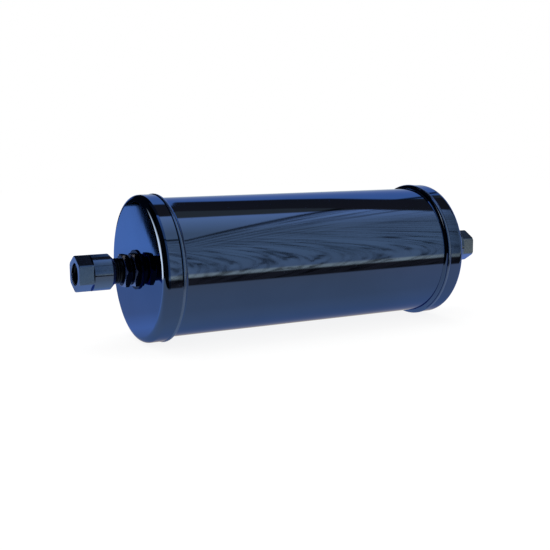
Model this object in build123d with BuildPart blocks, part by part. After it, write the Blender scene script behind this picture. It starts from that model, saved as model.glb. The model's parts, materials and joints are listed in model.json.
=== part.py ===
from build123d import *
from math import radians, tan
import os

os.makedirs("parts", exist_ok=True)

# In-line filter drier: a steel canister between two drawn end caps, with a screwed
# connector on each end and a spring-loaded drying core inside. All sizes are in
# millimetres. The axis lies along X, the inlet is at -X and the middle is the origin.

# Shell tube
tube_diameter = 76.2
tube_wall = 1.6
tube_end_bevel = 1.0
tube_end_play = 0.6

# End caps, each drawn from one disc; panel_span is the length over both flat panels
panel_span = 193.2
cap_wall = 1.9
cap_slip_fit = 0.1
cap_skirt_length = 12.5
cap_corner_radius = 3.6
lip_width = 2.4
lip_height = 0.4

# Brazed seam between each cap's lip and the tube
seam_leg = 1.6
seam_hollow = 0.3

# Hexagons of the port fittings
wrench_size = 17.0
hexagon_bevel_angle = 30.0
hexagon_face_share = 0.95

# Port stub, welded to the cap's panel
stub_thread_diameter = 13.0
stub_bore_diameter = 8.0
stub_thread_bevel = 0.8
stub_tail_length = 2.0
stub_hexagon_thickness = 2.4
bead_diameter = 21.4
bead_thickness = 0.9
bead_edge_radius = 0.7
port_hole_play = 0.1

# Lock nut
nut_gap = 1.7
nut_thickness = 3.8
thread_play = 0.05

# Connector, turned from round bar with wrench flats at its mouth
connector_gap = 4.9
connector_length = 20.2
bar_diameter = 19.3
bar_rear_bevel = 2.2
mouth_edge_bevel = 0.35
wrench_flat_length = 8.2
mouth_hexagon_turn = 30.0
port_thread_diameter = 11.4
port_thread_depth = 8.6
port_thread_bevel = 0.5
thread_engagement = 8.6
seal_thickness = 1.0
seal_play = 0.15

# Drying core and what holds it
bed_play = 0.3
inlet_chamber_length = 17.0
outlet_chamber_length = 12.0
plate_thickness = 1.2
plate_flange_height = 4.0
plate_hole_diameter = 5.0
plate_inner_ring_diameter = 17.0
plate_inner_ring_holes = 6
plate_outer_ring_inset = 6.2
plate_outer_ring_holes = 16
pad_thickness = 4.0
screen_thickness = 0.8
core_end_bevel = 1.5
support_skirt_inset = 11.2

# Compression spring
spring_mean_diameter = 34.0
spring_wire_diameter = 3.0
spring_turns = 3.0

# Diffuser, a thimble on the inlet stub's tail
diffuser_wall = 1.0
diffuser_length = 11.0
diffuser_window_diameter = 4.0
diffuser_window_count = 6

# Radii that follow from the sizes above
tube_radius = tube_diameter / 2
tube_inner_radius = tube_radius - tube_wall
skirt_inner_radius = tube_radius + cap_slip_fit
skirt_radius = skirt_inner_radius + cap_wall
stub_radius = stub_thread_diameter / 2
stub_bore_radius = stub_bore_diameter / 2
port_hole_radius = stub_radius + port_hole_play
thread_bore_radius = stub_radius + thread_play
bar_radius = bar_diameter / 2
port_thread_radius = port_thread_diameter / 2
bed_radius = tube_inner_radius - bed_play
plate_outer_ring_radius = bed_radius - plate_outer_ring_inset
support_skirt_radius = bed_radius - support_skirt_inset

# Stations along X, on the inlet side
panel_x = -panel_span / 2
panel_inner_x = panel_x + cap_wall
tube_end_x = panel_inner_x + tube_end_play
plate_x = panel_inner_x + inlet_chamber_length
inlet_pad_x = plate_x + plate_thickness
core_x = inlet_pad_x + pad_thickness

# Stations along X, on the outlet side
support_face_x = -panel_inner_x - outlet_chamber_length
support_x = support_face_x - plate_thickness
screen_x = support_x - screen_thickness
outlet_pad_x = screen_x - pad_thickness

# Heights above the panel's outer face, along a port
hexagon_base = bead_thickness
hexagon_top = hexagon_base + stub_hexagon_thickness
nut_base = hexagon_top + nut_gap
nut_top = nut_base + nut_thickness
connector_base = nut_top + connector_gap
connector_top = connector_base + connector_length
stub_top = connector_base + thread_engagement
seal_seat = stub_top + seal_thickness
port_thread_seat = connector_top - port_thread_depth

# Half sections have X along the axis and Y as the radius. Both start at the outer face of
# the inlet cap's panel: the cap section runs inwards and the port section outwards.
cap_section = Plane(origin=(panel_x, 0, 0), x_dir=(1, 0, 0), z_dir=(0, -1, 0))
port_section = Plane(origin=(panel_x, 0, 0), x_dir=(-1, 0, 0), z_dir=(0, 1, 0))


def port_plane(height):
    """Cross plane of the inlet port at a height above the panel, facing outwards."""
    return Plane(origin=(panel_x - height, 0, 0), x_dir=(0, -1, 0), z_dir=(-1, 0, 0))


def cross_plane(x):
    """Cross plane of the canister, facing the outlet."""
    return Plane(origin=(x, 0, 0), x_dir=(0, 1, 0), z_dir=(1, 0, 0))


def hexagon(turn=0, mode=Mode.ADD):
    """Hexagon of the wrench size; with no turn it has a corner at the front."""
    RegularPolygon(wrench_size / 2, 6, major_radius=False, rotation=turn, mode=mode)


def bevel_hexagon(low, high, both_ends):
    """Turns the corners off the outer end of a hexagon, or off both its ends."""
    face_radius = wrench_size / 2 * hexagon_face_share
    apex = (low + high) / 2 if both_ends else low
    apex_radius = face_radius + (high - apex) / tan(radians(hexagon_bevel_angle))
    inner_end = [(low, 0), (low, face_radius)] if both_ends else [(low, 0)]
    with BuildSketch(port_section) as turned_outline:
        with BuildLine():
            Polyline(*inner_end, (apex, apex_radius), (high, face_radius), (high, 0), close=True)
        make_face()
    revolve(turned_outline.sketch, axis=Axis.X, mode=Mode.INTERSECT)


def disc(x, thickness, radius):
    """Plain disc across the canister."""
    with BuildSketch(cross_plane(x)) as outline:
        Circle(radius)
    extrude(outline.sketch, amount=thickness)


def perforate(x):
    """Cuts the two rings of holes and the centre hole through a plate that starts at x."""
    with BuildSketch(cross_plane(x)) as holes:
        Circle(plate_hole_diameter / 2)
        with PolarLocations(plate_inner_ring_diameter / 2, plate_inner_ring_holes):
            Circle(plate_hole_diameter / 2)
        with PolarLocations(plate_outer_ring_radius, plate_outer_ring_holes):
            Circle(plate_hole_diameter / 2)
    extrude(holes.sketch, amount=plate_thickness, mode=Mode.SUBTRACT)


# Shell tube, slid into both caps' skirts
with BuildPart() as shell_tube:
    with BuildSketch(cross_plane(tube_end_x)):
        Circle(tube_radius)
    extrude(amount=-2 * tube_end_x)
    chamfer(shell_tube.edges().filter_by(GeomType.CIRCLE), tube_end_bevel)
    with BuildSketch(cross_plane(tube_end_x)):
        Circle(tube_inner_radius)
    extrude(amount=-2 * tube_end_x, mode=Mode.SUBTRACT)
shell_tube.part.label = "shell_tube"
export_step(shell_tube.part, "parts/shell_tube.step")

# Inlet end cap: flat panel, rounded corner and skirt of one wall thickness, with a rolled lip
with BuildPart() as inlet_end_cap:
    with BuildSketch(cap_section):
        with BuildLine():
            FilletPolyline(
                (0, port_hole_radius), (0, skirt_radius), (cap_skirt_length, skirt_radius),
                radius=cap_corner_radius,
            )
            offset(amount=cap_wall, side=Side.RIGHT, closed=True)
        make_face()
    revolve(axis=Axis.X)
    with BuildSketch(cap_section):
        with BuildLine():
            lip_start = (cap_skirt_length - lip_width, skirt_radius)
            lip_end = (cap_skirt_length, skirt_radius)
            SagittaArc(lip_start, lip_end, lip_height)
            Polyline(
                lip_end, (cap_skirt_length, skirt_radius - cap_wall / 2),
                (cap_skirt_length - lip_width, skirt_radius - cap_wall / 2), lip_start,
            )
        make_face()
    revolve(axis=Axis.X)
inlet_end_cap.part.label = "inlet_end_cap"
export_step(inlet_end_cap.part, "parts/inlet_end_cap.step")

# Inlet seam: the brazed fillet that closes the corner between the lip and the tube
with BuildPart() as inlet_seam:
    with BuildSketch(cap_section):
        with BuildLine():
            seam_corner = (cap_skirt_length, tube_radius)
            seam_toe = (cap_skirt_length + seam_leg, tube_radius)
            seam_top = (cap_skirt_length, tube_radius + seam_leg)
            Line(seam_top, seam_corner)
            Line(seam_corner, seam_toe)
            SagittaArc(seam_toe, seam_top, seam_hollow)
        make_face()
    revolve(axis=Axis.X)
inlet_seam.part.label = "inlet_seam"
export_step(inlet_seam.part, "parts/inlet_seam.step")

# Inlet stub: tail through the panel, weld bead, hexagon and threaded spigot
with BuildPart() as inlet_stub:
    stub_tail = -cap_wall - stub_tail_length
    with BuildSketch(port_plane(hexagon_base)):
        hexagon()
    extrude(amount=stub_hexagon_thickness)
    bevel_hexagon(hexagon_base, hexagon_top, both_ends=False)
    with BuildSketch(port_plane(stub_tail)):
        Circle(stub_radius)
    extrude(amount=stub_top - stub_tail)
    spigot_rim = inlet_stub.edges().filter_by(GeomType.CIRCLE).sort_by(Axis.X)[0]
    chamfer(spigot_rim, stub_thread_bevel)
    with BuildSketch(port_section):
        Rectangle(bead_thickness, bead_diameter / 2, align=(Align.MIN, Align.MIN))
        bead_edge = vertices().sort_by(Axis.X)[0:2].sort_by(Axis.Z)[-1]
        fillet(bead_edge, bead_edge_radius)
    revolve(axis=Axis.X)
    with BuildSketch(port_plane(stub_tail)):
        Circle(stub_bore_radius)
    extrude(amount=stub_top - stub_tail, mode=Mode.SUBTRACT)
inlet_stub.part.label = "inlet_stub"
export_step(inlet_stub.part, "parts/inlet_stub.step")

# Inlet lock nut, on the stub's thread
with BuildPart() as inlet_lock_nut:
    with BuildSketch(port_plane(nut_base)):
        hexagon()
    extrude(amount=nut_thickness)
    bevel_hexagon(nut_base, nut_top, both_ends=True)
    with BuildSketch(port_plane(nut_base)):
        Circle(thread_bore_radius)
    extrude(amount=nut_thickness, mode=Mode.SUBTRACT)
inlet_lock_nut.part.label = "inlet_lock_nut"
export_step(inlet_lock_nut.part, "parts/inlet_lock_nut.step")

# Inlet connector: bored bar with a thread at each end and six flats at its mouth
with BuildPart() as inlet_connector:
    with BuildSketch(port_section):
        with BuildLine():
            Polyline(
                (connector_base, thread_bore_radius),
                (connector_base, bar_radius - bar_rear_bevel),
                (connector_base + bar_rear_bevel, bar_radius),
                (connector_top - mouth_edge_bevel, bar_radius),
                (connector_top, bar_radius - mouth_edge_bevel),
                (connector_top, port_thread_radius + port_thread_bevel),
                (connector_top - port_thread_bevel, port_thread_radius),
                (port_thread_seat, port_thread_radius),
                (port_thread_seat, stub_bore_radius),
                (seal_seat, stub_bore_radius),
                (seal_seat, thread_bore_radius),
                close=True,
            )
        make_face()
    revolve(axis=Axis.X)
    with BuildSketch(port_plane(connector_top)):
        Circle(bar_diameter)
        hexagon(turn=mouth_hexagon_turn, mode=Mode.SUBTRACT)
    extrude(amount=-wrench_flat_length, mode=Mode.SUBTRACT)
inlet_connector.part.label = "inlet_connector"
export_step(inlet_connector.part, "parts/inlet_connector.step")

# Inlet seal, a flat ring between the stub's end and the connector's shoulder
with BuildPart() as inlet_seal:
    with BuildSketch(port_plane(stub_top)):
        Circle(thread_bore_radius - seal_play)
        Circle(stub_bore_radius + seal_play, mode=Mode.SUBTRACT)
    extrude(amount=seal_thickness)
inlet_seal.part.label = "inlet_seal"
export_step(inlet_seal.part, "parts/inlet_seal.step")

# The outlet's cap and fitting are the inlet's, mirrored
end_pieces = {
    "end_cap": inlet_end_cap,
    "seam": inlet_seam,
    "stub": inlet_stub,
    "lock_nut": inlet_lock_nut,
    "connector": inlet_connector,
    "seal": inlet_seal,
}
for piece_name, inlet_piece in end_pieces.items():
    with BuildPart() as outlet_piece:
        mirror(inlet_piece.part, about=Plane.YZ)
    outlet_piece.part.label = f"outlet_{piece_name}"
    export_step(outlet_piece.part, f"parts/outlet_{piece_name}.step")

# Diffuser: a thimble pressed over the inlet stub's tail, with windows round its wall
with BuildPart() as diffuser:
    diffuser_radius = thread_bore_radius + diffuser_wall
    diffuser_end = cap_wall + diffuser_length
    with BuildSketch(port_section):
        with BuildLine():
            Polyline(
                (-cap_wall, thread_bore_radius), (-cap_wall, diffuser_radius),
                (-diffuser_end, diffuser_radius), (-diffuser_end, 0),
                (diffuser_wall - diffuser_end, 0),
                (diffuser_wall - diffuser_end, thread_bore_radius), close=True,
            )
        make_face()
    revolve(axis=Axis.X)
    window_height = -(diffuser_end + stub_tail_length + cap_wall) / 2
    with Locations(port_plane(window_height)):
        with PolarLocations(0, diffuser_window_count):
            Cylinder(
                diffuser_window_diameter / 2, 2 * diffuser_radius, rotation=(0, 90, 0),
                align=(Align.CENTER, Align.CENTER, Align.MIN), mode=Mode.SUBTRACT,
            )
diffuser.part.label = "diffuser"
export_step(diffuser.part, "parts/diffuser.step")

# Spring: an open coil between the inlet panel and the pressure plate
with BuildPart() as spring:
    coil_height = inlet_chamber_length - spring_wire_diameter
    with BuildLine():
        coil = Helix(
            pitch=coil_height / spring_turns, height=coil_height,
            radius=spring_mean_diameter / 2,
            center=(panel_inner_x + spring_wire_diameter / 2, 0, 0), direction=(1, 0, 0),
        )
    with BuildSketch(Plane(origin=coil @ 0, z_dir=coil % 0)):
        Circle(spring_wire_diameter / 2)
    sweep(is_frenet=True)
spring.part.label = "spring"
export_step(spring.part, "parts/spring.step")

# Pressure plate: a perforated disc whose turned-up flange guides it in the tube
with BuildPart() as pressure_plate:
    disc(plate_x, plate_thickness, bed_radius)
    perforate(plate_x)
    with BuildSketch(cross_plane(plate_x)):
        Circle(bed_radius)
        Circle(bed_radius - plate_thickness, mode=Mode.SUBTRACT)
    extrude(amount=-plate_flange_height)
pressure_plate.part.label = "pressure_plate"
export_step(pressure_plate.part, "parts/pressure_plate.step")

# Inlet filter pad
with BuildPart() as inlet_filter_pad:
    disc(inlet_pad_x, pad_thickness, bed_radius)
inlet_filter_pad.part.label = "inlet_filter_pad"
export_step(inlet_filter_pad.part, "parts/inlet_filter_pad.step")

# Drying core, one moulded block
with BuildPart() as drying_core:
    disc(core_x, outlet_pad_x - core_x, bed_radius)
    chamfer(drying_core.edges().filter_by(GeomType.CIRCLE), core_end_bevel)
drying_core.part.label = "drying_core"
export_step(drying_core.part, "parts/drying_core.step")

# Outlet filter pad and the woven screen behind it
with BuildPart() as outlet_filter_pad:
    disc(outlet_pad_x, pad_thickness, bed_radius)
outlet_filter_pad.part.label = "outlet_filter_pad"
export_step(outlet_filter_pad.part, "parts/outlet_filter_pad.step")

with BuildPart() as outlet_screen:
    disc(screen_x, screen_thickness, bed_radius)
outlet_screen.part.label = "outlet_screen"
export_step(outlet_screen.part, "parts/outlet_screen.step")

# Support cup: a perforated plate on a skirt that stands on the outlet cap's panel
with BuildPart() as support_cup:
    disc(support_x, plate_thickness, bed_radius)
    perforate(support_x)
    with BuildSketch(cross_plane(support_face_x)):
        Circle(support_skirt_radius)
        Circle(support_skirt_radius - plate_thickness, mode=Mode.SUBTRACT)
    extrude(amount=outlet_chamber_length)
support_cup.part.label = "support_cup"
export_step(support_cup.part, "parts/support_cup.step")
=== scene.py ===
# %% [markdown]
# # A filter drier in gloss enamel
#
# The object is a sealed steel canister with a threaded fitting at each end. It is painted all
# over in one blue stove enamel, so its look is almost nothing but reflections: bright bands where
# the tube mirrors the paper it stands on, and black bands where it mirrors the unlit room.
# The solids come ready made and stay as they are. This lesson dresses them: first the camera and
# the surroundings, which draw the bands, then the finishes, then the screw threads.

# %% Load the solids
import json
import math

import bmesh
import bpy
from mathutils import Matrix, Vector


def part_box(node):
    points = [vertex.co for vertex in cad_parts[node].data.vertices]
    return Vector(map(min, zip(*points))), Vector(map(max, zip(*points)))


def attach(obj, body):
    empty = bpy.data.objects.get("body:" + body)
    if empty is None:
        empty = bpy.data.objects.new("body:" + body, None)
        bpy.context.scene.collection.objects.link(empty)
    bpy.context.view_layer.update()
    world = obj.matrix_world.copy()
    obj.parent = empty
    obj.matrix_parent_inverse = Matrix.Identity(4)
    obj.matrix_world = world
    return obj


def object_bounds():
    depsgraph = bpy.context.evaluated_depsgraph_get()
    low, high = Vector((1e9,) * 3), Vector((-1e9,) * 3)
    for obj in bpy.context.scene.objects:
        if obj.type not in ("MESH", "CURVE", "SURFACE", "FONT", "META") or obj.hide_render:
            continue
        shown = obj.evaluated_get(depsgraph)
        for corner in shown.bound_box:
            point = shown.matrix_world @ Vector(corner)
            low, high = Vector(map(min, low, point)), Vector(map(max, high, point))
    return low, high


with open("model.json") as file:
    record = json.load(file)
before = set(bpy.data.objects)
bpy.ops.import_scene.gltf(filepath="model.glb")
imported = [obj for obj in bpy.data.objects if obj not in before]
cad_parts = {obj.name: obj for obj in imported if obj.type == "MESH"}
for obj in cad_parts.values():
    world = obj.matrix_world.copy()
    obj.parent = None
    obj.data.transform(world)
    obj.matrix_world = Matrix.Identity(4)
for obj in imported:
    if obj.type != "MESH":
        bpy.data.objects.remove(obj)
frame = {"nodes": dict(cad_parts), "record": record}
cad_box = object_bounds()
print("solids loaded:", len(frame["nodes"]))

# %% [markdown]
# ## Measures
#
# Blender works in metres here, and the part's own drawing is in millimetres, so one factor takes
# a size from one to the other. The places of the threads are read from the boxes of the solids
# they sit on. Then a thread follows its nut if the drawing changes.

# %% Read the measures
MM = 0.001


def span_x(node):
    low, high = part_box(node)
    return low[0], high[0]


floor_height = cad_box[0][2]
tube_radius = (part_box("shell_tube")[1][2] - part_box("shell_tube")[0][2]) / 2
print("length %.1f mm, tube radius %.2f mm" % ((cad_box[1][0] - cad_box[0][0]) / MM, tube_radius / MM))

# %% [markdown]
# ## Camera
#
# The picture was taken from the left of the canister, a little above it and half a metre away.
# A lens as short as this makes the near cap visibly larger than the far one. The place, the turn
# and the focal length were found by fitting the ends of the canister and its fittings to the
# picture. The focal length is in pixels of a square picture, which a sensor width turns into
# millimetres.

# %% Place the camera
PICTURE_SIDE = 550
FOCAL_PIXELS = 912.643
SENSOR_WIDTH = 36
CAMERA_PLACE = Vector((-0.26443, -0.46413, 0.06188))
CAMERA_YAW, CAMERA_PITCH, CAMERA_ROLL = 0.499, -0.134, -0.012


def add_camera():
    forward = Vector((
        math.sin(CAMERA_YAW) * math.cos(CAMERA_PITCH),
        math.cos(CAMERA_YAW) * math.cos(CAMERA_PITCH),
        math.sin(CAMERA_PITCH),
    ))
    level = Vector((math.cos(CAMERA_YAW), -math.sin(CAMERA_YAW), 0))
    upright = level.cross(forward)
    right = level * math.cos(CAMERA_ROLL) + upright * math.sin(CAMERA_ROLL)
    up = upright * math.cos(CAMERA_ROLL) - level * math.sin(CAMERA_ROLL)
    lens = bpy.data.cameras.new("camera")
    lens.sensor_width = SENSOR_WIDTH
    lens.lens = SENSOR_WIDTH * FOCAL_PIXELS / PICTURE_SIDE
    camera = bpy.data.objects.new("camera", lens)
    bpy.context.scene.collection.objects.link(camera)
    turn = Matrix((right, up, -forward)).transposed().to_4x4()
    turn.translation = CAMERA_PLACE
    camera.matrix_world = turn
    bpy.context.scene.camera = camera
    return camera


camera = add_camera()
bpy.context.scene.view_settings.view_transform = "Standard"
print("lens %.1f mm" % camera.data.lens)

# %% [markdown]
# ## Helpers for node trees
#
# Every finish below is a small tree of shader nodes. Three helpers keep them readable: one adds
# a node and sets its fields, one does sums, and one turns a number into a colour or a strength
# through a ramp whose stops are written as pairs.

# %% Node helpers


def add_node(tree, kind, **fields):
    node = tree.nodes.new("ShaderNode" + kind)
    for name, value in fields.items():
        setattr(node, name, value)
    return node


def feed(tree, socket, value):
    if isinstance(value, bpy.types.NodeSocket):
        tree.links.new(value, socket)
    else:
        socket.default_value = value


def sums(tree, operation, first, second=0.0, clamp=False):
    node = add_node(tree, "Math", operation=operation, use_clamp=clamp)
    feed(tree, node.inputs[0], first)
    feed(tree, node.inputs[1], second)
    return node.outputs[0]


def rescale(tree, value, start, end, low=0.0, high=1.0):
    node = add_node(tree, "MapRange")
    for name, number in (("From Min", start), ("From Max", end), ("To Min", low), ("To Max", high)):
        node.inputs[name].default_value = number
    feed(tree, node.inputs["Value"], value)
    return node.outputs[0]


def ramp(tree, value, stops):
    node = add_node(tree, "ValToRGB")
    marks = node.color_ramp.elements
    while len(marks) < len(stops):
        marks.new(0.5)
    for mark, (place, colour) in zip(marks, stops):
        mark.position = place
        mark.color = (*colour, 1) if isinstance(colour, tuple) else (colour, colour, colour, 1)
    feed(tree, node.inputs[0], value)
    return node.outputs[0]


# %% [markdown]
# ## The surroundings
#
# A glossy tube shows its surroundings as bands along its length: each height on the tube mirrors
# one angle round the axis. So the world's colour is written as a function of that angle,
# measured from the horizon in front, up over the top and down behind. Only glossy rays see it.
# Rays that look straight at the background see plain white, and rays that gather light for
# matt surfaces see an even pale grey.
#
# From the horizon up there is a warm wall with a bright sill, then its top edge, then a bright
# ceiling and a grey one. The wall's colour is the complement of the enamel's blue, so the middle
# of the tube comes out nearly neutral.

# %% World bands
DARK = (0.110, 0.062, 0.034)
SILL = (1.85, 1.22, 0.52)
GREY = (0.27, 0.18, 0.085)
FRONT_BANDS = (
    (-180, DARK), (-13.5, DARK), (-11.5, SILL), (-8.5, SILL), (-5.5, (0.66, 0.56, 0.36)), (1, (0.68, 0.58, 0.37)), (20, (0.67, 0.59, 0.38)),
    (60, (0.69, 0.59, 0.38)), (86, (1.10, 0.98, 0.72)), (91, (1.15, 1.02, 0.80)), (93, GREY), (114, GREY),
    (116, (0.72, 0.82, 0.78)), (180, (0.72, 0.82, 0.78)),
)


def angle_share(degrees):
    return (degrees + 180) / 360


def by_angle(tree, share, bands):
    return ramp(tree, share, [(angle_share(a), c) for a, c in bands])


def blend(tree, kind, share, first, second):
    node = add_node(tree, "Mix", data_type="RGBA", blend_type=kind)
    feed(tree, node.inputs["Factor"], share)
    feed(tree, node.inputs["A"], first)
    feed(tree, node.inputs["B"], second)
    return node.outputs["Result"]


print("front bands:", len(FRONT_BANDS))

# %% [markdown]
# ## The dark beam overhead
#
# A black beam hangs over the part. It isn't parallel to the tube, so on the tube it runs a few
# degrees lower toward the right. The angle is corrected by how far along the tube's axis the
# mirrored ray points, and the correction stops outside the part of the room the tube shows.

# %% Beam
BEAM_BANDS = ((-180, 0.0), (108, 0.0), (110, 1.0), (137, 1.0), (141, 0.0), (180, 0.0))
BEAM_SLANTS = ((0.30, 17), (0.376, 17), (0.380, 0), (0.44, 4), (0.49, 6), (0.53, 10), (0.575, 20), (0.61, 27), (0.64, 35))
SLANT_LEFT, SLANT_RIGHT = 0.30, 0.64
SLANT_TOP = 35


def beam_share(tree, angle, along):
    stops = [((d - SLANT_LEFT) / (SLANT_RIGHT - SLANT_LEFT), turn / SLANT_TOP) for d, turn in BEAM_SLANTS]
    slant = ramp(tree, rescale(tree, along, SLANT_LEFT, SLANT_RIGHT), stops)
    turned = sums(tree, "ADD", angle, sums(tree, "MULTIPLY", slant, SLANT_TOP))
    return by_angle(tree, rescale(tree, turned, -180, 180), BEAM_BANDS)


print("beam slants:", len(BEAM_SLANTS))

# %% [markdown]
# ## The wall's lines
#
# The wall in front is panelled. Near the sill its lines stand upright, so they lie at steady
# compass bearings, and the tube bends them into curves that fall to the right. Higher up they
# follow the wall's sloping top edge, which the tube shows as a dark line that climbs to the
# right. Each set is a noise stretched along its own lines, and the two change over between the
# middle of the wall and its top.

# %% Wall lines
AXIS_LEFT = 0.39
WALL_TOP_LEFT = 49.6
WALL_TOP_TURN = 330
UPRIGHT_SCALE = 40
SLOPING_SCALE = 15
LINE_TONES = (
    (0.0, 1.2), (0.395, 1.15), (0.43, 0.1), (0.46, 1.0), (0.50, 1.25), (0.54, 1.05), (0.57, 0.1), (0.60, 1.05),
    (1.0, 1.2),
)
FINE_TONES = ((0.0, 1.1), (0.41, 1.1), (0.45, 0.25), (0.50, 1.2), (0.56, 0.3), (0.60, 1.1), (1.0, 1.0))
WALL_EDGE = ((0.0, 1.0), (0.935, 1.0), (0.965, 0.16), (0.985, 0.16), (1.02, 1.0))
EDGE_SPREAD = 1.25


def stretched_noise(tree, across, lengthwise, scale, detail):
    place = add_node(tree, "CombineXYZ")
    feed(tree, place.inputs[0], across)
    feed(tree, place.inputs[1], lengthwise)
    noise = add_node(tree, "TexNoise")
    noise.inputs["Scale"].default_value = scale
    noise.inputs["Detail"].default_value = detail
    feed(tree, noise.inputs["Vector"], place.outputs[0])
    return noise.outputs[0]


def wall_lines(tree, angle, along, front, up):
    bearing = sums(tree, "ARCTAN2", along, front)
    rows = stretched_noise(tree, bearing, sums(tree, "MULTIPLY", up, 0.03), UPRIGHT_SCALE, 2)
    upright = ramp(tree, rows, LINE_TONES)
    top = rescale(tree, along, AXIS_LEFT, AXIS_LEFT + 1, WALL_TOP_LEFT, WALL_TOP_LEFT + WALL_TOP_TURN)
    reach = sums(tree, "DIVIDE", angle, top)
    sloping = ramp(tree, stretched_noise(tree, reach, sums(tree, "MULTIPLY", along, 0.18), SLOPING_SCALE, 3), FINE_TONES)
    lines = blend(tree, "MIX", rescale(tree, reach, 0.45, 0.80), upright, sloping)
    edge = ramp(tree, sums(tree, "DIVIDE", reach, EDGE_SPREAD), [(p / EDGE_SPREAD, c) for p, c in WALL_EDGE])
    within = rescale(tree, reach, 0.985, 1.0, 1.0, 0.0)
    return blend(tree, "MULTIPLY", 1.0, blend(tree, "MIX", within, (1, 1, 1, 1), lines), edge)


print("wall top from %.1f degrees" % WALL_TOP_LEFT)

# %% [markdown]
# ## The bright strip at the left
#
# Left of the part the room is dark but for one tall narrow window. The rounded corner of the near
# cap bends it into the thin white streak beside the face, and the rolled lip into a thin bright
# line, which a painted highlight on the top of the lip widens.

# %% Room
LIGHT_LEVEL = 0.85
SIDE_TONES = (
    (-1.0, 0.015), (-0.18, 0.015), (-0.08, (0.38, 0.54, 0.82)), (0.30, (0.38, 0.54, 0.82)), (0.345, 1.05),
    (0.630, 1.0), (0.636, 0.6), (0.70, 0.6), (0.85, 0.9), (1.0, 0.9),
)
BACK_TONES = ((-1.0, 0.012), (0.29, 0.012), (0.35, 1.0), (1.0, 1.0))
BEHIND_BANDS = ((-180, 0.0), (118, 0.0), (122, 1.0), (164, 1.0), (171, 0.0), (180, 0.0))
STRIP_LEVEL = 10.0
STRIP_COLOUR = (1.0, 0.60, 0.26, 1)
STRIP_BEARINGS = ((0.0, 0.0), (38, 0.0), (42, 1.0), (74, 1.0), (83, 0.0))
STRIP_HEIGHTS = ((-0.16, 0.0), (-0.13, 1.0), (0.0, 1.0), (0.2, 0.7), (0.36, 0.0))


def strip_share(tree, along, back, up):
    bearing = sums(tree, "ARCTAN2", sums(tree, "MULTIPLY", along, -1), back)
    side = ramp(tree, sums(tree, "DIVIDE", bearing, math.pi), [(a / 180, c) for a, c in STRIP_BEARINGS])
    height = ramp(tree, rescale(tree, up, -1, 1), [((h + 1) / 2, c) for h, c in STRIP_HEIGHTS])
    return blend(tree, "MULTIPLY", 1.0, side, height)


def background(tree, colour, strength=1.0):
    node = add_node(tree, "Background")
    feed(tree, node.inputs["Color"], colour)
    feed(tree, node.inputs["Strength"], strength)
    return node.outputs[0]


def pick(tree, share, first, second):
    node = add_node(tree, "MixShader")
    for socket, value in zip(node.inputs, (share, first, second)):
        feed(tree, socket, value)
    return node.outputs[0]


def add_world():
    world = bpy.data.worlds.new("room")
    bpy.context.scene.world = world
    world.use_nodes = True
    tree = world.node_tree
    tree.nodes.clear()
    direction = add_node(tree, "SeparateXYZ")
    feed(tree, direction.inputs[0], add_node(tree, "TexCoord").outputs["Generated"])
    along, back, up = direction.outputs
    front = sums(tree, "MULTIPLY", back, -1)
    angle = sums(tree, "MULTIPLY", sums(tree, "ARCTAN2", up, front), 180 / math.pi)
    share = rescale(tree, angle, -180, 180)
    bands = by_angle(tree, share, FRONT_BANDS)
    lined = blend(tree, "MULTIPLY", 1.0, bands, wall_lines(tree, angle, along, front, up))
    beamed = blend(tree, "MIX", beam_share(tree, angle, along), lined, (*DARK, 1))
    sides, ends = (
        ramp(tree, rescale(tree, along, -1, 1), [((d + 1) / 2, level) for d, level in tones])
        for tones in (SIDE_TONES, BACK_TONES)
    )
    behind = by_angle(tree, share, BEHIND_BANDS)
    shaded = blend(tree, "MULTIPLY", 1.0, beamed, blend(tree, "MIX", behind, sides, ends))
    strip = sums(tree, "MULTIPLY", strip_share(tree, along, back, up), STRIP_LEVEL)
    both = add_node(tree, "AddShader")
    feed(tree, both.inputs[0], background(tree, shaded))
    feed(tree, both.inputs[1], background(tree, STRIP_COLOUR, strip))
    even = background(tree, (LIGHT_LEVEL, LIGHT_LEVEL, LIGHT_LEVEL, 1))
    white = background(tree, (1, 1, 1, 1))
    rays = add_node(tree, "LightPath")
    mirrored = pick(tree, rays.outputs["Is Glossy Ray"], even, both.outputs[0])
    seen = pick(tree, rays.outputs["Is Camera Ray"], mirrored, white)
    feed(tree, add_node(tree, "OutputWorld").inputs[0], seen)
    return world


world = add_world()
print("world nodes:", len(world.node_tree.nodes))

# %% [markdown]
# ## Floor
#
# The part stands on white paper. The paper is mostly its own white, so that the background is
# even, with some real matt white mixed in, which takes the soft shadow. Glossy rays see the
# paper only inside its front edge and its slanting left edge, and past them the dark of the
# room. The front edge draws the black line along the middle of the tube, and the left edge cuts
# the black corner into the near cap's face. The colour depends only on the place on the floor,
# so it is the same from every side.

# %% Floor
FLOOR_SIDE = 4.0
PAPER_FRONT = -0.117
PAPER_BACK = 1.2
PAPER_END = 1.25
FRONT_FADE = 0.010
NOTCH_X, NOTCH_Y = -0.237, 0.323
NOTCH_SLOPE = 0.3426
NOTCH_FADE = 0.002
PAPER_OWN_WHITE = 0.84
PAPER_RIGHT = (0.05, 0.16)
PAPER_RIGHT_TONE = (1.18, 1.18, 1.32)
PAPER_TONES = (
    (-0.11, (0.62, 0.46, 0.28)), (-0.04, (0.60, 0.50, 0.34)), (0.0, (0.78, 0.70, 0.52)),
    (0.04, (0.95, 0.98, 0.90)), (0.09, (0.76, 0.72, 0.60)), (0.20, (0.70, 0.70, 0.60)),
    (0.36, (0.92, 1.02, 0.92)), (0.5, (0.98, 1.14, 1.06)), (1.2, (0.94, 1.08, 1.00)),
)


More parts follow.
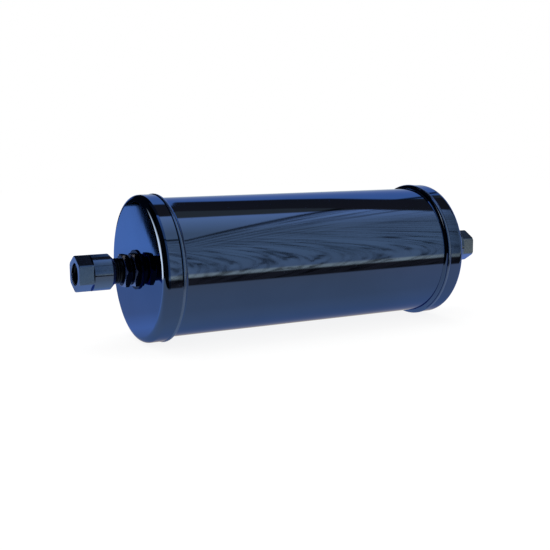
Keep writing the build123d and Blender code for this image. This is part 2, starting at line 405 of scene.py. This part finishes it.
def paper_share(tree, x, y):
    away = sums(tree, "ABSOLUTE", sums(tree, "SUBTRACT", y, NOTCH_Y))
    edge = sums(tree, "SUBTRACT", NOTCH_X, sums(tree, "MULTIPLY", away, NOTCH_SLOPE))
    past_left = rescale(tree, sums(tree, "SUBTRACT", x, edge), 0, NOTCH_FADE)
    past_front = rescale(tree, y, PAPER_FRONT, PAPER_FRONT + FRONT_FADE)
    before_end = rescale(tree, y, PAPER_END, PAPER_END + FRONT_FADE, 1.0, 0.0)
    return sums(tree, "MULTIPLY", sums(tree, "MULTIPLY", past_left, past_front), before_end)


def paper_finish():
    paper = bpy.data.materials.new("paper")
    paper.use_nodes = True
    tree = paper.node_tree
    tree.nodes.clear()
    matt = add_node(tree, "BsdfDiffuse")
    matt.inputs["Color"].default_value = (0.92, 0.92, 0.92, 1)
    white = add_node(tree, "Emission")
    white.inputs["Color"].default_value = (1, 1, 1, 1)
    white.inputs["Strength"].default_value = 1.04
    place = add_node(tree, "SeparateXYZ")
    feed(tree, place.inputs[0], add_node(tree, "NewGeometry").outputs["Position"])
    x, y, z = place.outputs
    span = PAPER_BACK - PAPER_FRONT
    tones = [((at - PAPER_FRONT) / span, colour) for at, colour in PAPER_TONES]
    mirrored = add_node(tree, "Emission")
    tone = ramp(tree, rescale(tree, y, PAPER_FRONT, PAPER_BACK), tones)
    warmer = ramp(tree, rescale(tree, x, *PAPER_RIGHT), [(0.0, 1.0), (1.0, PAPER_RIGHT_TONE)])
    feed(tree, mirrored.inputs["Color"], blend(tree, "MULTIPLY", 1.0, tone, warmer))
    to_glossy = pick(tree, paper_share(tree, x, y), add_node(tree, "BsdfTransparent").outputs[0],
                     mirrored.outputs[0])
    to_others = pick(tree, PAPER_OWN_WHITE, matt.outputs[0], white.outputs[0])
    rays = add_node(tree, "LightPath")
    feed(tree, add_node(tree, "OutputMaterial").inputs[0],
         pick(tree, rays.outputs["Is Glossy Ray"], to_others, to_glossy))
    return paper


def add_floor():
    half = FLOOR_SIDE / 2
    corners = [(x, y, floor_height) for x, y in ((-half, -half), (half, -half), (half, half), (-half, half))]
    sheet = bpy.data.meshes.new("floor")
    sheet.from_pydata(corners, [], [(0, 1, 2, 3)])
    floor = bpy.data.objects.new("floor", sheet)
    bpy.context.scene.collection.objects.link(floor)
    sheet.materials.append(paper_finish())
    return floor


floor = add_floor()
print("floor at %.1f mm" % (floor.data.vertices[0].co.z / MM))

# %% [markdown]
# ## Lamp
#
# One large soft lamp stands high behind the part. It gives the matt paper its soft shadow. It is
# hidden from glossy rays, because the world already draws what the enamel mirrors.

# %% Lamp
LAMP_POWER = 8
LAMP_SIDE = 1.2


def add_lamp():
    light = bpy.data.lights.new("soft_lamp", "AREA")
    light.energy = LAMP_POWER
    light.size = LAMP_SIDE
    lamp = bpy.data.objects.new("soft_lamp", light)
    lamp.location = (0.1, 0.4, 1.2)
    lamp.rotation_euler = (-0.32, 0, 0)
    lamp.visible_glossy = False
    bpy.context.scene.collection.objects.link(lamp)


add_lamp()
print("lamp %g W" % LAMP_POWER)

# %% [markdown]
# ## Enamel
#
# Stove enamel is a deep blue film that mirrors sharply. It has no matt colour of its own: where
# it mirrors the dark it is black. A coloured metal behaves so, and the tint at the rim of a
# shape keeps the grazing reflections blue. The finish has what a sprayed film has: a faint
# orange-peel ripple, a slow change of gloss, small pinholes and a little dust.

# %% Enamel
ENAMEL_BLUE = (0.052, 0.108, 0.330)
FITTING_BLUE = (0.082, 0.150, 0.375)
# Painted shade: a near-black copy of the fitting blue for the stubs, lock nuts and threads, which sit in the
# dark around the caps' fittings.
PAINTED_SHADE_BLUE = (0.012, 0.017, 0.030)
ENAMEL_RIM_TINT = (0.50, 0.55, 0.80, 1)


def new_finish(name):
    finish = bpy.data.materials.new(name)
    finish.use_nodes = True
    return finish, finish.node_tree, finish.node_tree.nodes["Principled BSDF"]


def grain_at(tree, scale, detail=2.0, stretch=(1, 1, 1)):
    spread = add_node(tree, "Mapping")
    spread.inputs["Scale"].default_value = stretch
    feed(tree, spread.inputs[0], add_node(tree, "TexCoord").outputs["Object"])
    noise = add_node(tree, "TexNoise")
    noise.inputs["Scale"].default_value = scale
    noise.inputs["Detail"].default_value = detail
    feed(tree, noise.inputs["Vector"], spread.outputs[0])
    return noise.outputs[0]


def specks(tree, scale, size):
    cells = add_node(tree, "TexVoronoi")
    cells.inputs["Scale"].default_value = scale
    feed(tree, cells.inputs["Vector"], add_node(tree, "TexCoord").outputs["Object"])
    return rescale(tree, cells.outputs["Distance"], size * 0.6, size, 1.0, 0.0)


def relief(tree, height, depth, strength=1.0, below=None):
    bump = add_node(tree, "Bump")
    bump.inputs["Strength"].default_value = strength
    bump.inputs["Distance"].default_value = depth
    feed(tree, bump.inputs["Height"], height)
    if below is not None:
        feed(tree, bump.inputs["Normal"], below)
    return bump.outputs[0]


def enamel(name, blue, rough, peel_depth):
    finish, tree, shader = new_finish(name)
    shader.inputs["Metallic"].default_value = 1.0
    shader.inputs["Specular Tint"].default_value = ENAMEL_RIM_TINT
    tone = ramp(tree, grain_at(tree, 40), [(0.3, blue), (0.7, tuple(1.06 * c for c in blue))])
    feed(tree, shader.inputs["Base Color"], tone)
    gloss = rescale(tree, grain_at(tree, 60, 4), 0.35, 0.7, rough, rough * 1.5)
    dust = sums(tree, "MULTIPLY", specks(tree, 420, 0.07), 0.12)
    feed(tree, shader.inputs["Roughness"], sums(tree, "ADD", gloss, dust))
    peel = relief(tree, grain_at(tree, 380, 2), peel_depth, 0.25)
    feed(tree, shader.inputs["Normal"], relief(tree, specks(tree, 260, 0.05), 0.00003, 0.5, peel))
    return finish


# The chamfers of the fittings get a lighter, rougher blue in patches: partly worn paint, partly a painted
# highlight along the bevel edges.
BEVEL_NORMALS = ((0.0, 0.0), (0.40, 0.0), (0.50, 1.0), (0.93, 1.0), (0.97, 0.0), (1.0, 0.0))
BEVEL_HIGHLIGHT_BLUE = (0.12, 0.19, 0.45, 1)
BEVEL_HIGHLIGHT_ROUGH = 0.38
WORN_HIGHLIGHT_FROM, WORN_HIGHLIGHT_TO = 0.25, 0.48


# Painted highlight: a brighter, rougher blue on the top of each rolled lip, to widen its bright line.
LIP_HIGHLIGHT_BLUE = (0.10, 0.18, 0.44, 1)
LIP_HIGHLIGHT_ROUGH = 0.28
LIP_HIGHLIGHT_FROM, LIP_HIGHLIGHT_TO = 40.30 * MM, 40.42 * MM


def repaint(finish, share, colour, rough):
    tree = finish.node_tree
    shader = tree.nodes["Principled BSDF"]
    painted = shader.inputs["Base Color"].links[0].from_socket
    gloss = shader.inputs["Roughness"].links[0].from_socket
    feed(tree, shader.inputs["Base Color"], blend(tree, "MIX", share, painted, colour))
    mixed = add_node(tree, "Mix")
    feed(tree, mixed.inputs["Factor"], share)
    feed(tree, mixed.inputs["A"], gloss)
    feed(tree, mixed.inputs["B"], rough)
    feed(tree, shader.inputs["Roughness"], mixed.outputs["Result"])


def worn_highlight_patches(tree):
    return rescale(tree, grain_at(tree, 260, 3), WORN_HIGHLIGHT_FROM, WORN_HIGHLIGHT_TO)


def paint_bevel_highlights(finish):
    tree = finish.node_tree
    facing = add_node(tree, "SeparateXYZ")
    feed(tree, facing.inputs[0], add_node(tree, "NewGeometry").outputs["True Normal"])
    slope = sums(tree, "ABSOLUTE", facing.outputs[0])
    # Lighter patches on the chamfers: worn paint and painted highlight.
    worn_highlight = sums(tree, "MULTIPLY", ramp(tree, slope, BEVEL_NORMALS), worn_highlight_patches(tree))
    repaint(finish, worn_highlight, BEVEL_HIGHLIGHT_BLUE, BEVEL_HIGHLIGHT_ROUGH)


def paint_lip_highlight(finish):
    tree = finish.node_tree
    place = add_node(tree, "SeparateXYZ")
    feed(tree, place.inputs[0], add_node(tree, "TexCoord").outputs["Object"])
    squares = [sums(tree, "MULTIPLY", side, side) for side in place.outputs[1:]]
    radius = sums(tree, "SQRT", sums(tree, "ADD", *squares))
    # The top of the rolled lip gets the painted highlight.
    lip_highlight = rescale(tree, radius, LIP_HIGHLIGHT_FROM, LIP_HIGHLIGHT_TO)
    repaint(finish, lip_highlight, LIP_HIGHLIGHT_BLUE, LIP_HIGHLIGHT_ROUGH)


gloss_enamel = enamel("gloss_enamel", ENAMEL_BLUE, 0.03, 0.000008)
fitting_enamel = enamel("fitting_enamel", FITTING_BLUE, 0.10, 0.00004)
# Darker copies of the fitting enamel, as painted shade on the stubs, lock nuts and threads.
painted_shade_enamel = enamel("painted_shade_enamel", PAINTED_SHADE_BLUE, 0.16, 0.00004)
shaded_thread_enamel = enamel("shaded_thread_enamel", PAINTED_SHADE_BLUE, 0.22, 0.00004)
paint_bevel_highlights(fitting_enamel)
paint_bevel_highlights(painted_shade_enamel)
paint_lip_highlight(gloss_enamel)
print("enamel finishes:", gloss_enamel.name, fitting_enamel.name)

# %% [markdown]
# ## Finishes inside the canister
#
# Nothing of the core shows from outside, but it shows when the part is cut open. Pressed
# sheet steel is finely brushed, the spring is drawn wire, the seals are soft copper, the pads are
# matted glass fibre, the core is a granular moulding and the screen is woven wire.

# %% Inner finishes


def brushed_metal(name, colour, rough, stretch):
    finish, tree, shader = new_finish(name)
    shader.inputs["Metallic"].default_value = 1.0
    lines = grain_at(tree, 300, 4, stretch)
    pale = tuple(min(1.0, 1.15 * c) for c in colour)
    dark = tuple(0.8 * c for c in colour)
    feed(tree, shader.inputs["Base Color"], ramp(tree, lines, [(0.3, dark), (0.7, pale)]))
    feed(tree, shader.inputs["Roughness"], rescale(tree, lines, 0.3, 0.7, rough, rough + 0.15))
    feed(tree, shader.inputs["Normal"], relief(tree, lines, 0.00002, 0.4))
    return finish


def felt(name, colour):
    finish, tree, shader = new_finish(name)
    fibres = grain_at(tree, 900, 6, (1, 0.2, 1))
    dark = tuple(0.75 * c for c in colour)
    feed(tree, shader.inputs["Base Color"], ramp(tree, fibres, [(0.35, dark), (0.65, colour)]))
    shader.inputs["Roughness"].default_value = 0.95
    feed(tree, shader.inputs["Normal"], relief(tree, fibres, 0.0004, 0.8))
    return finish


def grains(name, colour):
    finish, tree, shader = new_finish(name)
    cells = add_node(tree, "TexVoronoi")
    cells.inputs["Scale"].default_value = 800
    feed(tree, cells.inputs["Vector"], add_node(tree, "TexCoord").outputs["Object"])
    dark = tuple(0.6 * c for c in colour)
    feed(tree, shader.inputs["Base Color"], ramp(tree, cells.outputs["Distance"], [(0.2, colour), (0.8, dark)]))
    shader.inputs["Roughness"].default_value = 0.9
    feed(tree, shader.inputs["Normal"], relief(tree, cells.outputs["Distance"], 0.0004, 0.7))
    return finish


def woven_wire(name, colour, pitch):
    finish, tree, shader = new_finish(name)
    shader.inputs["Metallic"].default_value = 1.0
    shader.inputs["Roughness"].default_value = 0.35
    place = add_node(tree, "SeparateXYZ")
    feed(tree, place.inputs[0], add_node(tree, "TexCoord").outputs["Object"])
    turns = 2 * math.pi / pitch
    across = sums(tree, "SINE", sums(tree, "MULTIPLY", place.outputs[1], turns))
    upward = sums(tree, "SINE", sums(tree, "MULTIPLY", place.outputs[2], turns))
    height = sums(tree, "MAXIMUM", across, upward)
    # Painted shade: the low places between the wires are darkened.
    feed(tree, shader.inputs["Base Color"],
         ramp(tree, rescale(tree, height, -1, 1), [(0.2, tuple(0.15 * c for c in colour)), (0.7, colour)]))
    feed(tree, shader.inputs["Normal"], relief(tree, height, 0.0001, 0.8))
    return finish


FINISHES = {
    "gloss_enamel": gloss_enamel,
    "fitting_enamel": fitting_enamel,
    "zinc_steel": brushed_metal("zinc_steel", (0.55, 0.56, 0.58), 0.3, (1, 0.1, 1)),
    "spring_steel": brushed_metal("spring_steel", (0.42, 0.42, 0.44), 0.25, (1, 1, 1)),
    "seal_copper": brushed_metal("seal_copper", (0.72, 0.38, 0.22), 0.3, (1, 1, 0.2)),
    "filter_felt": felt("filter_felt", (0.82, 0.80, 0.74)),
    "drying_block": grains("drying_block", (0.72, 0.66, 0.56)),
    "wire_screen": woven_wire("wire_screen", (0.6, 0.6, 0.6), 0.5 * MM),
}
print("finishes:", ", ".join(FINISHES))

# %% [markdown]
# ## Dress the solids
#
# The record says which finish each solid has, and each one gets it in its material slot, except
# the stubs and lock nuts, which get a near-black copy of the fitting enamel as painted shade. No
# mesh is touched.

# %% Dress the solids
finish_of = {row["node"]: row["material_slot"] for row in frame["record"]["subparts"]}
for node, solid in frame["nodes"].items():
    solid.data.materials.clear()
    # The stubs and lock nuts take the near-black enamel as painted shade.
    in_painted_shade = node.endswith(("_stub", "_lock_nut"))
    solid.data.materials.append(painted_shade_enamel if in_painted_shade else FINISHES[finish_of[node]])
print("dressed:", len(finish_of))

# %% [markdown]
# ## Screw threads
#
# The drawing has plain cylinders where the real parts have threads. A thread is one ridge that
# winds round the cylinder, so it is made as a strip of triangular section swept along a helix.
# One function serves for the spigots, where the ridge stands outward, and for the connector
# mouths, where it stands inward. The ridges are near black: painted shade for the dark gaps and
# bores they sit in.

# %% Threads
THREAD_PITCH = 1.34 * MM
THREAD_RISE = 0.42 * MM
STEPS_PER_TURN = 72


def thread_ridge(name, start, end, radius, rise):
    turns = (end - start) / THREAD_PITCH
    count = int(turns * STEPS_PER_TURN)
    mesh = bmesh.new()
    rows = []
    for step in range(count + 1):
        turn = 2 * math.pi * step / STEPS_PER_TURN
        middle = start + THREAD_PITCH * step / STEPS_PER_TURN
        fade = min(1.0, step / STEPS_PER_TURN * 2, (count - step) / STEPS_PER_TURN * 2)
        row = []
        for shift, height in ((-0.5, -0.05), (-0.12, 1.0), (0.12, 1.0), (0.5, -0.05)):
            reach = radius + rise * (height * fade if height > 0 else height)
            x = middle + shift * THREAD_PITCH
            row.append(mesh.verts.new((x, reach * math.cos(turn), reach * math.sin(turn))))
        rows.append(row)
    for first, second in zip(rows, rows[1:]):
        for a in range(3):
            mesh.faces.new((first[a], first[a + 1], second[a + 1], second[a]))
        mesh.faces.new((first[3], first[0], second[0], second[3]))
    mesh.faces.new(rows[0])
    mesh.faces.new(rows[-1][::-1])
    bmesh.ops.recalc_face_normals(mesh, faces=mesh.faces)
    data = bpy.data.meshes.new(name)
    mesh.to_mesh(data)
    mesh.free()
    ridge = bpy.data.objects.new(name, data)
    bpy.context.scene.collection.objects.link(ridge)
    # The ridge takes the near-black enamel: painted shade in the gap or bore where it sits.
    data.materials.append(shaded_thread_enamel)
    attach(ridge, "root")
    return ridge


PORT_RADIUS = 5.7 * MM
PORT_DEPTH = 8.1 * MM
MOUTH_BEVEL = 0.8 * MM
SPIGOT_RADIUS = 6.5 * MM
SPIGOT_PLAY = 0.15 * MM
for side, name in ((-1, "inlet"), (1, "outlet")):
    connector = span_x(name + "_connector")
    nut = span_x(name + "_lock_nut")
    mouth, rear = connector if side < 0 else connector[::-1]
    nut_face = nut[0] if side < 0 else nut[1]
    inner = sorted((mouth - side * MOUTH_BEVEL, mouth - side * PORT_DEPTH))
    outer = sorted((nut_face + side * SPIGOT_PLAY, rear - side * SPIGOT_PLAY))
    for ridge in (
        thread_ridge(name + "_port_thread", *inner, PORT_RADIUS, -THREAD_RISE),
        thread_ridge(name + "_spigot_thread", *outer, SPIGOT_RADIUS, THREAD_RISE),
    ):
        print(ridge.name, len(ridge.data.polygons), "faces")
